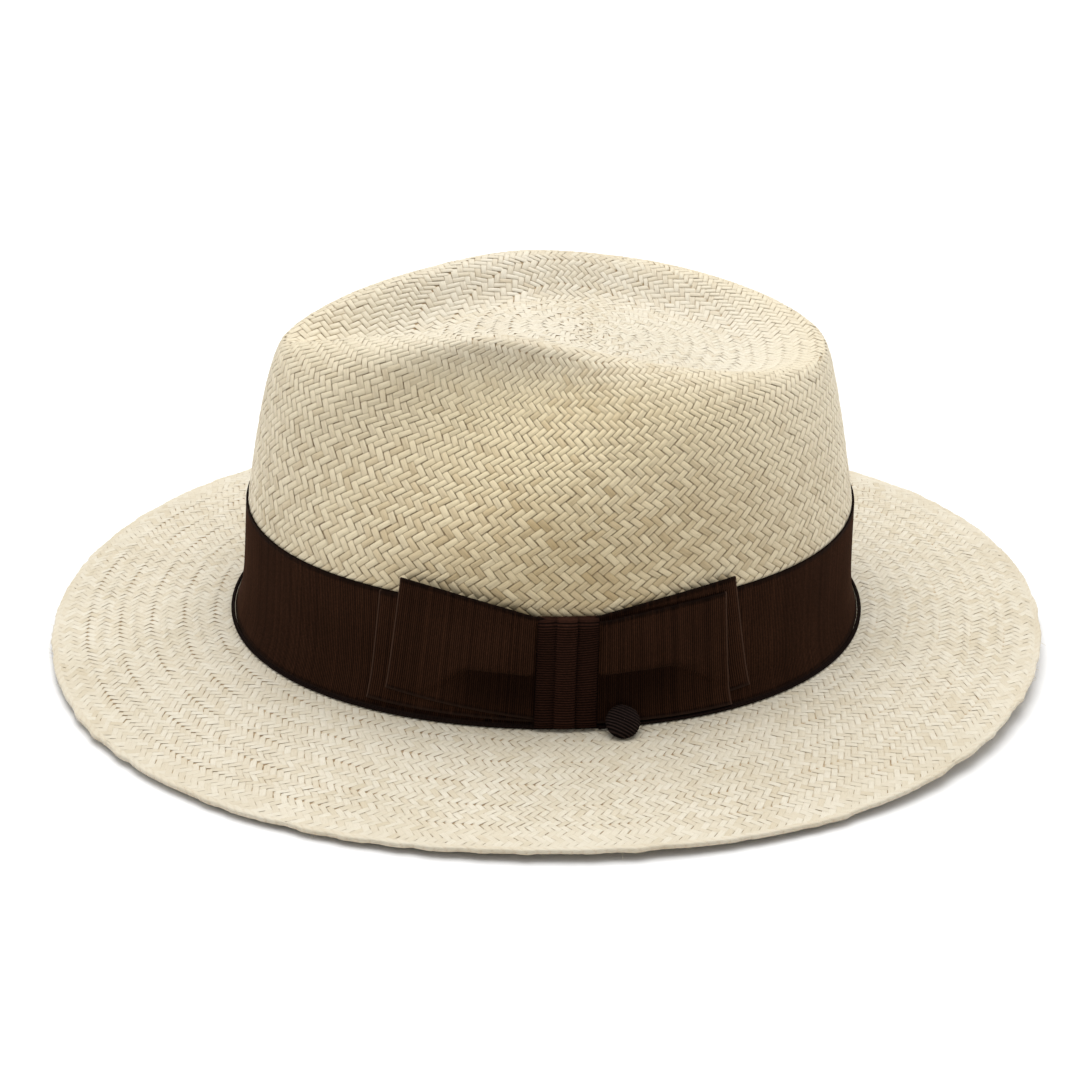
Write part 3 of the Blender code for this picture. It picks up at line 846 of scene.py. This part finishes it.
def bow_strip(name, node_name, y0, y1, low, high, layer, right, puff=None, slant=0.0, ends=(0.0, 1.0), bulge=0.9, painted_fold_shade=None):
    d = 0.3 + 0.6 + 0.3 + layer * 0.9 + 0.52

    def ease(k):
        e = k if right else 1 - k
        return np.clip((e - 0.04) / 0.96, 0, 1)

    def t_of(k, z):
        free = k if right else 1 - k
        y = y0 + (y1 - y0) * k + (1 if right else -1) * slant * (z - 24.0) / 20.0 * free
        return at_y(y)

    length = abs(y1 - y0) * 1.03
    ribs = int(round(length / RIB))
    points, rib_a, edge_a = ribbed(
        t_of,
        lambda k: low[0] + (low[1] - low[0]) * ease(k),
        lambda k: high[0] + (high[1] - high[0]) * ease(k) + 4 * bulge * ease(k) * (1 - ease(k)),
        d,
        ribs,
        puff=puff,
        ends=ends,
        painted_fold_shade=painted_fold_shade,
    )
    # The cut ends turn in to the layer below.
    if right:
        k_end, k_rows = -1, slice(None)
    else:
        k_end, k_rows = 0, slice(None)
    extra = points[:, k_end].copy()
    zc = extra[:, 2]
    y_end = -100.0 * np.cos(t_of(np.array([[1.0 if right else 0.0]]), zc[:, None])[:, 0])
    extra = off_wall(at_y(y_end), zc, d - 0.55)
    if right:
        points = np.concatenate([points, extra[:, None]], 1)
        rib_a = np.concatenate([rib_a, rib_a[:, -1:]], 1)
        edge_a = np.concatenate([edge_a, edge_a[:, -1:] * 0.5], 1)
    else:
        points = np.concatenate([extra[:, None], points], 1)
        rib_a = np.concatenate([rib_a[:, :1], rib_a], 1)
        edge_a = np.concatenate([edge_a[:, :1] * 0.5, edge_a], 1)
    return mesh_piece(
        name,
        points.reshape(-1, 3),
        grid_faces(*points.shape[:2], flip=True),
        grosgrain,
        [node_name],
        attrs={"rib": rib_a, "edge": edge_a},
    )


def wing_shape(y_of, from_knot, amount, reach, way):
    """A front wing stands away from the crown above a fold beside the knot.
    Returns how far it stands out, and how much painted shade darkens a point in the fold's hollow."""

    def fold(k):
        away = (y_of(k) - from_knot) * way
        size = np.exp(-((np.clip(away - 10.0, 0, None) / reach) ** 2)) * smooth(-1.5, 3.0, away)
        away = np.clip(away, 0, None)
        crease = 18.8 + 1.0 * np.sin(PI * np.clip(away / (1.9 * reach), 0, 1)) - 9.0 * smooth(1.1, 2.0, away / reach)
        return away, size, crease

    def puff(k, z):
        away, size, crease = fold(k)
        rise = smooth(crease - 1.1, crease + 0.5, z)
        fall = 1 - smooth(crease + 5, 41.0, z)
        lower = 0.16 * (1 - rise) * smooth(1.0, crease * 0.6, z)
        return amount * size * (rise * (0.15 + 0.85 * fall) + lower)

    # Painted shade in the hollow under the fold.
    def painted_fold_shade(k, z):
        away, size, crease = fold(k)
        under = 1 - smooth(crease - 1.2, crease + 1.0 + 0.10 * away, z)
        return under * (0.45 + 0.55 * smooth(3.0, 13.0, z)) * (1 - smooth(0.9, 1.85, away / reach))

    return dict(puff=puff, painted_fold_shade=painted_fold_shade)


bow_strip("ribbon_left_tail", "bow_left_tail", -50.2, 9.0, (2.2, 3.4), (35.2, 40.6), 0, False, slant=-1.2, ends=(1.0, 0.0))
bow_strip(
    "ribbon_left_wing", "bow_left_wing", -44.5, 9.0, (2.6, 8.4), (35.6, 46.8), 1, False,
    **wing_shape(lambda k: -44.5 + 53.5 * k, -0.8, 2.9, 17.0, -1), slant=-1.7, ends=(1.0, 0.0), bulge=1.2,
)
bow_strip("ribbon_right_wing", "bow_right_wing", 10.6, 61.5, (2.2, 6.0), (35.9, 44.9), 0, True, slant=-2.7, ends=(0.0, 1.0), bulge=1.2)
bow_strip(
    "ribbon_right_tail", "bow_right_tail", 10.6, 56.5, (2.0, 2.0), (34.9, 40.8), 1, True,
    **wing_shape(lambda k: 10.6 + 45.9 * k, 18.3, 2.7, 19.0, 1), slant=-1.0, ends=(0.0, 1.0),
)

# The knot: a pleated ribbon round the middle of the bow, its ribs level.
KNOT_COLS = 64
KNOT_RIB = 0.8
knot_ribs = 43
kc = np.linspace(0, 1, KNOT_COLS + 1)
zr = np.arange(knot_ribs * 4 + 1) / (knot_ribs * 4)
z = 1.4 + (37.0 - 1.4) * zr
KC, Z = np.meshgrid(kc, z)
fold = np.zeros_like(kc)
for a, b, size in ((0.0, 0.31, 0.8), (0.31, 0.655, 1.25), (0.655, 1.0, 0.85)):
    inside = (kc >= a) & (kc <= b)
    x = np.clip((kc - a) / (b - a), 0, 1)
    fold = np.where(inside, size * np.clip(np.sin(PI * x), 0, 1) ** 0.22, fold)
sag = 0.9 * np.sin(PI * KC) * smooth(20, 36, Z)
rib_phase = np.tile(RIB_SHAPE, knot_ribs + 1)[: len(z)]
tilt = 0.8 * np.clip(KC - 0.66, 0, 1) * 3.0 * smooth(6, 26, Z) * (1 - smooth(30, 37, Z))
wave = 0.35 * np.sin(KC * 9.0 + Z * 0.21)
depth = 3.75 + 0.95 * fold[None] + 0.27 * (rib_phase[:, None] - 0.6) + 0.25 * wave * smooth(0, 0.1, KC)
depth = depth - 1.5 * smooth(34.0, 37.0, Z) ** 2 - 0.8 * smooth(4.0, 1.4, Z) ** 2
Yk = -0.6 + 18.8 * KC
points = off_wall(at_y(Yk), Z + tilt + 0.25 * sag, depth)
points[:, 0] = off_wall(at_y(Yk[:, 0]), Z[:, 0], 2.6)
points[:, -1] = off_wall(at_y(Yk[:, -1]), Z[:, -1], 2.6)
lip = off_wall(at_y(Yk[-1]), 37.2, 0.6)
foot = off_wall(at_y(Yk[0]), 1.4, 2.4)
points = np.concatenate([foot[None], points, lip[None]], 0)
# Painted light: the knot's rib crests are painted lit and grooves shaded; the rolled top lip and the row under it
# are painted at crest brightness, as lit from above.
rib_a = np.repeat(np.concatenate([[0.0], rib_phase, [0.9]])[:, None], KNOT_COLS + 1, 1)
rib_a[-2] = 0.9
# Painted shade: the ribs darken towards the creases between the pleats.
painted_crease_shade = 1 - np.clip(fold, 0, 1)[None]
rib_a = rib_a * (1 - 0.9 * painted_crease_shade)
mesh_piece(
    "ribbon_knot",
    points.reshape(-1, 3),
    grid_faces(*points.shape[:2], flip=True),
    grosgrain_knot,
    ["bow_knot"],
    attrs={"rib": rib_a, "edge": np.zeros_like(rib_a)},
)

# ------------------------------------------------------------- wind cord
CORD_COLS, CORD_SIDES = 1500, 10
tc = np.linspace(0, 2 * PI, CORD_COLS, endpoint=False)
ang = np.linspace(0, 2 * PI, CORD_SIDES, endpoint=False)
TT, AA = np.meshgrid(tc, ang, indexing="ij")
strands = np.cos(TT * 260 + AA * 2) * np.cos(TT * 260 - AA * 2)
r = 0.56 + 0.06 * strands
points = off_wall(TT, 0.98 + r * np.sin(AA), 1.78 + r * np.cos(AA))
# Painted light: the rib attribute paints the braid's raised strands lit and the dips between them shaded.
mesh_piece(
    "elastic_cord",
    points.reshape(-1, 3),
    np.concatenate(
        [
            np.stack(
                [
                    i * CORD_SIDES + np.arange(CORD_SIDES),
                    i * CORD_SIDES + (np.arange(CORD_SIDES) + 1) % CORD_SIDES,
                    ((i + 1) % CORD_COLS) * CORD_SIDES + (np.arange(CORD_SIDES) + 1) % CORD_SIDES,
                    ((i + 1) % CORD_COLS) * CORD_SIDES + np.arange(CORD_SIDES),
                ],
                -1,
            )
            for i in range(CORD_COLS)
        ]
    )[:, ::-1],
    elastic,
    ["wind_cord"],
    attrs={"rib": np.clip(0.5 + 0.5 * strands, 0, 1), "edge": np.zeros_like(strands)},
)


def tube_mesh(path, radius, sides=10, braid=0.0):
    path = np.asarray(path, float)
    ahead = np.gradient(path, axis=0)
    ahead /= np.linalg.norm(ahead, axis=-1, keepdims=True)
    side = np.cross(ahead, (0.0, 0.0, 1.0))
    side /= np.linalg.norm(side, axis=-1, keepdims=True)
    other = np.cross(side, ahead)
    a = np.linspace(0, 2 * PI, sides, endpoint=False)[None, :, None]
    k = np.arange(len(path))[:, None, None]
    bump = np.cos(k * 0.9 + a * 2) * np.cos(k * 0.9 - a * 2)
    r = radius * (1 + braid * bump)
    points = path[:, None] + r * (np.cos(a) * side[:, None] + np.sin(a) * other[:, None])
    return points, np.clip(0.5 + 0.5 * bump[..., 0], 0, 1)


neck_keys = np.array(
    [
        off_wall(at_y(18.6), 1.05, 3.1),
        off_wall(at_y(20.2), 1.05, 3.1),
        off_wall(at_y(21.8), 1.08, 3.15),
        off_wall(at_y(22.8), 1.2, 3.3),
        off_wall(at_y(23.6), 1.4, 3.55),
    ]
)
kk = np.linspace(0, 4, 41)
neck_path = np.stack([np.interp(kk, np.arange(5), neck_keys[:, a]) for a in range(3)], -1)
points, bump_a = tube_mesh(neck_path, 0.45, 10, 0.1)
# Painted light: the braid's bumps are painted lit, the dips shaded.
neck = mesh_piece(
    "elastic_neck",
    points.reshape(-1, 3),
    grid_faces(*points.shape[:2], wrap=True, flip=True),
    elastic,
    ["cord_neck"],
    attrs={"rib": bump_a, "edge": np.zeros_like(bump_a)},
    body=None,
)
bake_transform(neck)

# --------------------------------------------------------------- button
BUTTON_AT = np.array([88.2, 27.2, 4.0])
heading = math.atan2(0.216, 0.976)
turn = np.array((Matrix.Rotation(heading, 3, "Z") @ Matrix.Rotation(math.radians(45), 3, "Y")))
R0, H0 = 5.42, 2.9
rings, spokes = 40, 240
prof = []
for i in range(rings):
    a = 0.5 * PI * (0.01 + 0.99 * i / (rings - 1))
    prof.append((R0 * math.sin(a), H0 * math.cos(a)))
prof += [(R0 - 0.02, -0.12), (R0 - 0.12, -0.32), (R0 - 0.45, -0.58), (R0 - 0.8, -0.6), (R0 - 0.8, -0.32)]
prof = np.array(prof)
phi = np.linspace(0, 2 * PI, spokes, endpoint=False)
X = prof[:, :1] * np.cos(phi)
Y = prof[:, :1] * np.sin(phi)
Zb = np.repeat(prof[:, 1:], spokes, 1)
local = np.stack([X, Y, Zb], -1)
grad = np.gradient(prof, axis=0)
nr, nz = -grad[:, 1], grad[:, 0]
size = np.hypot(nr, nz)
nr, nz = nr / size, nz / size
flip_sign = np.where(nz[:1] * 1 > 0, 1, -1)[0]
norm = np.stack([nr[:, None] * np.cos(phi), nr[:, None] * np.sin(phi), np.repeat(nz[:, None], spokes, 1)], -1) * flip_sign
cam_right = np.array([-0.03804, 0.99928, 0.0])
cam_back = np.array([0.88494, 0.03369, 0.46446])
cam_back /= np.linalg.norm(cam_back)
cam_up = np.cross(cam_back, cam_right)
line = math.cos(math.radians(24)) * cam_right - math.sin(math.radians(24)) * cam_up
across = turn.T @ np.cross(line, turn @ np.array([0, 0, 1.0]))
across[2] = 0
across /= np.linalg.norm(across)
phase = (local @ across) / 0.93 + 0.06 * np.sin(local[..., 0] * 1.3)
crest = np.abs(np.cos(PI * phase)) ** 2.2
keep = np.clip((len(prof) - 4 - np.arange(len(prof))) / 3.0, 0, 1)[:, None]
local = local + norm * (0.22 * (crest - 0.6) * keep)[..., None]
points = local @ turn.T + BUTTON_AT
# Painted light: the rib attribute paints each rib's crest lit and its groove shaded.
mesh_piece(
    "button_cloth_dome",
    points.reshape(-1, 3),
    grid_faces(*points.shape[:2], wrap=True),
    button_cloth,
    ["button_cover"],
    attrs={"rib": crest * keep, "edge": np.zeros_like(crest)},
    body="button",
)

# ------------------------------------------------------------ sweatband
LEATHER_COLS = 720
tl = t_even(np.arange(LEATHER_COLS) / LEATHER_COLS)
zl = np.array([3.7, 3.6, 3.9, 5.0, 5.8, 6.2, 6.6, 7.4, 12.0, 18.0, 24.0, 30.0, 34.6, 35.6, 36.0, 35.8, 30.0, 18.0, 7.0, 3.9])
dl = -np.array([1.75, 2.15, 2.52, 2.6, 2.58, 2.50, 2.58, 2.62, 2.62, 2.62, 2.6, 2.6, 2.6, 2.5, 2.1, 1.65, 1.6, 1.6, 1.6, 1.65])
ripple = 0.18 * np.sin(tl * 41) * np.sin(tl * 13 + 1.0)
points = np.array([off_wall(tl, zz, dd + ripple * (6 < zz < 34) * (dd < -2)) for zz, dd in zip(zl, dl)])
points = np.concatenate([points, points[:1]], 0)
mesh_piece(
    "sweatband_hide",
    points.reshape(-1, 3),
    grid_faces(*points.shape[:2], wrap=True, flip=False),
    leather,
    ["sweatband"],
)
tr = t_even(np.arange(720) / 720)
ar = np.linspace(0, 2 * PI, 11)
points = np.array([off_wall(tr, 1.9 + 0.9 * math.sin(a), -2.75 + 0.9 * math.cos(a) + 0.03 * np.sin(np.arange(720) * 1.6)) for a in ar])
mesh_piece("sweatband_reed_cover", points.reshape(-1, 3), grid_faces(*points.shape[:2], wrap=True, flip=True), reed_mat, ["sweatband_reed"])

stitch_points, stitch_faces = [], []
STITCHES = 196
for i in range(STITCHES):
    k = (np.linspace(0.10, 0.78, 7) + i) / STITCHES
    bow_shape = np.sin(np.linspace(0, PI, 7))
    path = off_wall(t_even(k), 6.2 + 0.0 * k, -2.72 - 0.30 * bow_shape)
    radius = np.array([0.10, 0.20, 0.24, 0.25, 0.24, 0.20, 0.10])[:, None, None]
    pts, _ = tube_mesh(path, 1.0, 6, 0.0)
    pts = path[:, None] + (pts - path[:, None]) * radius
    stitch_faces.append(grid_faces(7, 6, wrap=True, flip=True, start=len(stitch_points) * 42))
    stitch_points.append(pts.reshape(-1, 3))
mesh_piece(
    "sweatband_stitches",
    np.concatenate(stitch_points),
    np.concatenate(stitch_faces),
    thread_mat,
    ["sweatband_stitching"],
)

# The little flat bow at the back of the leather: two loops, two tails and a knot.
rear = off_wall(PI, 13.0, -1.6 - 1.0 - 2.0)
bow_points, bow_faces, bow_rib, bow_edge = [], [], [], []


def ribbon_leaf(path, width, thick):
    """A flat ribbon of that width along points in the plane of the leather."""
    path = np.asarray(path, float)
    ahead = np.gradient(path, axis=0)
    ahead /= np.linalg.norm(ahead, axis=-1, keepdims=True)
    side = np.cross(ahead, (0.0, 1.0, 0.0))
    side /= np.linalg.norm(side, axis=-1, keepdims=True)
    out = np.array([0.0, 1.0, 0.0])
    start = len(bow_points)
    section = [(-0.5, 0), (-0.5, -1), (-0.2, -1.15), (0.2, -1.15), (0.5, -1), (0.5, 0)]
    w = np.broadcast_to(np.asarray(width, float), len(path))
    for k, p in enumerate(path):
        for a, b in section:
            bow_points.append(p + side[k] * a * w[k] + out * b * thick)
            bow_rib.append(0.5 + 0.5 * math.cos(a * 12))
            bow_edge.append(0.3 if abs(a) > 0.4 else 0.0)
    faces = grid_faces(len(path), len(section), wrap=True, start=start)
    bow_faces.extend(faces.tolist())


for sign in (1, -1):
    q = np.linspace(0, 1, 13)
    loop = np.stack([rear[0] + sign * (0.8 + 7.2 * q), np.full_like(q, rear[1] + 0.55), rear[2] + 0.4 * np.sin(PI * q)], -1)
    ribbon_leaf(loop, 1.8 + 2.6 * np.sin(PI * np.clip(q * 0.92 + 0.05, 0, 1)) ** 0.7, 1.0)
    tail = np.stack([rear[0] + sign * (0.6 + 4.2 * q), np.full_like(q, rear[1] + 0.75), rear[2] - 0.4 - 2.6 * q], -1)
    ribbon_leaf(tail, 1.3 + 0.5 * q, 0.35)
knot_path = np.stack([np.full(9, rear[0]), np.full(9, rear[1] + 0.6), rear[2] + np.linspace(-1.6, 1.6, 9)], -1)
ribbon_leaf(knot_path, 1.6 + 0.5 * np.sin(np.linspace(0, PI, 9)), 1.35)
mesh_piece(
    "sweatband_rear_bow",
    np.array(bow_points),
    np.array(bow_faces),
    satin,
    ["sweatband_bow"],
    attrs={"rib": bow_rib, "edge": bow_edge},
)

# The button's hidden metal keeps its CAD solids, with a worn tinplate finish.
for name in ("button_shell", "button_back", "button_shank"):
    obj = frame["nodes"][name]
    obj.data.materials.clear()
    obj.data.materials.append(tin_mat)

# ---------------------------------------------------------------- stage
floor_mat, tree, bsdf = new_material("studio_floor")
bsdf.inputs["Base Color"].default_value = (0.93, 0.93, 0.93, 1.0)
bsdf.inputs["Roughness"].default_value = 0.9
bsdf.inputs["Specular IOR Level"].default_value = 0.1
bpy.ops.mesh.primitive_plane_add(size=14.0, location=(0, 0, -0.00005))
floor = bpy.context.active_object
floor.name = "studio_floor"
floor.data.materials.append(floor_mat)

scene = bpy.context.scene
for obj in [o for o in scene.objects if o.type in ("LIGHT", "CAMERA") or o.name == "Cube"]:
    bpy.data.objects.remove(obj, do_unlink=True)
scene.world = bpy.data.worlds.new("studio")
scene.world.use_nodes = True
tree = scene.world.node_tree
back = tree.nodes["Background"]
way = node(tree, "ShaderNodeTexCoord").outputs["Generated"]
split_xyz = node(tree, "ShaderNodeSeparateXYZ")
tree.links.new(way, split_xyz.inputs["Vector"])
sky = ramp(tree, split_xyz.outputs["Z"], [(0.0, (0.22, 0.22, 0.22)), (0.35, (0.40, 0.40, 0.40)), (1.0, (1.0, 1.0, 1.0))])
tree.links.new(sky, back.inputs["Color"])
back.inputs["Strength"].default_value = 0.7


def area(name, place, aim, size, power, colour=(1, 1, 1)):
    data = bpy.data.lights.new(name, "AREA")
    data.shape = "RECTANGLE"
    data.size, data.size_y = size
    data.energy = power
    data.color = colour
    lamp = bpy.data.objects.new(name, data)
    lamp.location = place
    lamp.rotation_euler = (Vector(aim) - Vector(place)).to_track_quat("-Z", "Y").to_euler()
    scene.collection.objects.link(lamp)
    return lamp


area("overhead", (-0.20, 0.0, 1.35), (0, 0, 0.05), (1.3, 1.5), 19.5)
area("left_side", (-0.15, -1.5, 0.48), (0, 0, 0.08), (0.9, 0.8), 4.4)
area("right_side", (-0.35, 1.5, 0.45), (0, 0, 0.08), (0.9, 0.8), 4.8)

# Camera: the photograph's viewing angle.
data = bpy.data.cameras.new("photo_camera")
data.sensor_width = 36.0
data.lens = 99.07
data.shift_x = -5.781 / 1080
data.shift_y = 59.297 / 1080
data.clip_start, data.clip_end = 0.05, 50.0
camera = bpy.data.objects.new("photo_camera", data)
az, el = math.radians(-2.18), math.radians(27.676)
backward = Vector((0.88494, 0.03369, 0.46446)).normalized()
right = Vector((-0.03804, 0.99928, 0.0)).normalized()
upward = backward.cross(right)
camera.matrix_world = Matrix(
    (
        (right.x, upward.x, backward.x, 0.88494),
        (right.y, upward.y, backward.y, 0.03369),
        (right.z, upward.z, backward.z, 0.47341),
        (0, 0, 0, 1),
    )
)
scene.collection.objects.link(camera)
scene.camera = camera
scene.view_settings.view_transform = "Standard"
scene.view_settings.exposure = 0.0
